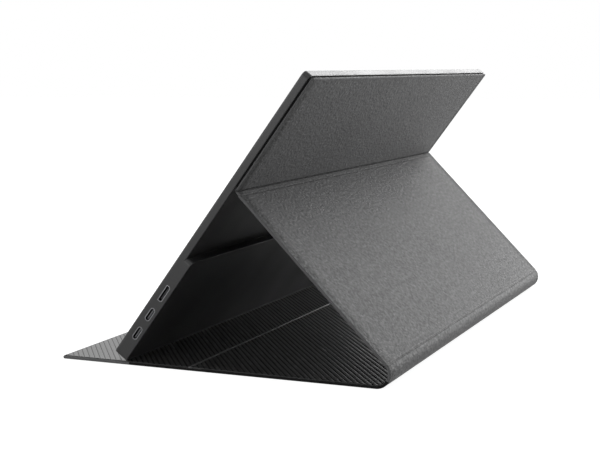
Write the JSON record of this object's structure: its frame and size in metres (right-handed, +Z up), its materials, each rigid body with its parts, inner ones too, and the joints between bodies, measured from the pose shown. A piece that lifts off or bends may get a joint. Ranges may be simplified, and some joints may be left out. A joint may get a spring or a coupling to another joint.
{
  "type": "portable monitor with cover",
  "caption": "Slim portable monitor leaning back in its folding cover, which folds into a support panel behind it and a ribbed floor panel with a front flap.",
  "frame": {"origin": "on the table, in the middle of the area that the object covers", "axes": "+X along the width towards the user's right, where the USB-C and mini HDMI sockets are; -Y is the way the screen faces; +Z up"},
  "size_m": [0.3559, 0.2084, 0.1712],
  "materials": {
    "housing": "dark grey anodised, satin",
    "bezel": "black, fine matt",
    "screen": "switched-off panel with a matt film",
    "guide": "clear acrylic",
    "lamps": "phosphor",
    "tray": "thin pressed sheet",
    "circuit": "green solder mask",
    "ribbon": "amber film",
    "fastener": "plain",
    "socket": "nickel plated sheet",
    "jack": "black",
    "button": "dark grey anodised, satin",
    "wheel": "black with a milled rim",
    "speaker": "black",
    "magnet": "nickel plated",
    "skin": "grey artificial leather, finely grained",
    "stiffener": "pressed fibre board",
    "lining": "dark ribbed microfibre",
    "bead": "pressed fold"
  },
  "bodies": {
    "floor_panel": {"floor_skin": "skin", "floor_board": "stiffener", "floor_lining": "lining", "spine_skin": "skin", "crease_strip": "bead"},
    "front_flap": {"flap_skin": "skin", "flap_board": "stiffener", "flap_lining": "lining", "flap_magnets": "magnet"},
    "support_panel": {"support_skin": "skin", "support_board": "stiffener", "support_lining": "lining", "spine_lining": "lining"},
    "display": {"rear_shell": "housing", "front_bezel": "bezel", "lcd_panel": "screen", "light_guide": "guide", "lamp_strip": "lamps", "panel_tray": "tray", "panel_board": "circuit", "panel_cable": "ribbon", "main_board": "circuit", "board_screws": "fastener", "usb_c_socket_lower": "socket", "usb_c_socket_upper": "socket", "mini_hdmi_socket": "socket", "headphone_jack": "jack", "button_board": "circuit", "wheel_axle": "fastener", "speaker_left": "speaker", "speaker_right": "speaker", "shell_magnets": "magnet", "upper_skin": "skin", "upper_board": "stiffener", "upper_lining": "lining", "cover_magnets": "magnet", "fold_strip": "bead"},
    "power_button": {"power_button": "button"},
    "menu_wheel": {"menu_wheel": "wheel"}
  },
  "joints": [
    {"name": "stand_fold", "type": "hinge", "parent": "floor_panel", "child": "support_panel", "pos_m": [0, 0.09575, 0.0085], "axis": [1, 0, 0], "range_deg": [-15, 9]},
    {"name": "back_fold", "type": "hinge", "parent": "support_panel", "child": "display", "pos_m": [0, 0.01361, 0.10482], "axis": [1, 0, 0], "range_deg": [-19.1, 31.8]},
    {"name": "flap_crease", "type": "hinge", "parent": "floor_panel", "child": "front_flap", "pos_m": [0, -0.01865, 0], "axis": [1, 0, 0], "range_deg": [0, 175]},
    {"name": "power_press", "type": "slide", "parent": "display", "child": "power_button", "axis": [1, 0, 0], "range_m": [0, 0.0004], "stiffness_N_per_m": 600, "springref_m": -0.001},
    {"name": "menu_turn", "type": "hinge", "parent": "display", "child": "menu_wheel", "pos_m": [-0.1734, -0.04052, 0.03417], "axis": [0, 0.8018, -0.5976], "range_deg": [-12, 12], "stiffness_Nm_per_rad": 0.02}
  ],
  "couplings": [
    {"joint": "back_fold", "follows": "stand_fold", "ratio": -2.1055}
  ]
}
